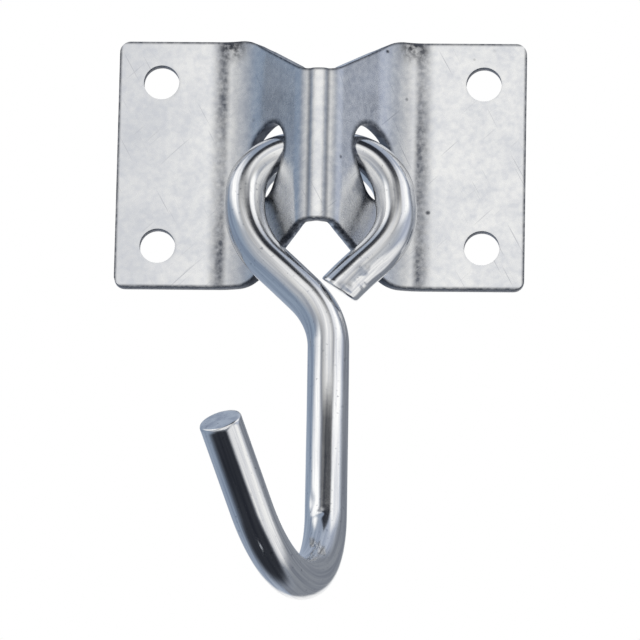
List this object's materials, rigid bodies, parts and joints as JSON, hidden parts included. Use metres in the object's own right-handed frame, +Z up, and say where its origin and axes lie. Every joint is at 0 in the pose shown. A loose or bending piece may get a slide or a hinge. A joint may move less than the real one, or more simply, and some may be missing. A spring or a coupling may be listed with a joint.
{
  "type": "rope hook",
  "caption": "Folded steel wall plate with a raised, notched ridge and a bent wire hook that swings in slots in the ridge's sides, for holding rope or tarpaulin cord.",
  "frame": {"origin": "middle of the four screw holes, on the plane of the wall that the plate is fixed to", "axes": "+X to the right along the wall, +Z up along the ridge, -Y out of the wall towards the viewer"},
  "size_m": [0.06, 0.0682, 0.0936],
  "materials": {
    "zinc_plated_sheet": "bright zinc plate on stamped sheet, lightly scuffed",
    "zinc_plated_wire": "bright zinc plate on drawn wire, glossy"
  },
  "bodies": {
    "plate": {"mounting_plate": "zinc_plated_sheet"},
    "hook": {"wire_hook": "zinc_plated_wire"}
  },
  "joints": [
    {"name": "hook_swing", "type": "hinge", "parent": "plate", "child": "hook", "pos_m": [0, -0.0048, 0.0009], "axis": [-1, 0, 0], "range_deg": [0, 90]}
  ]
}
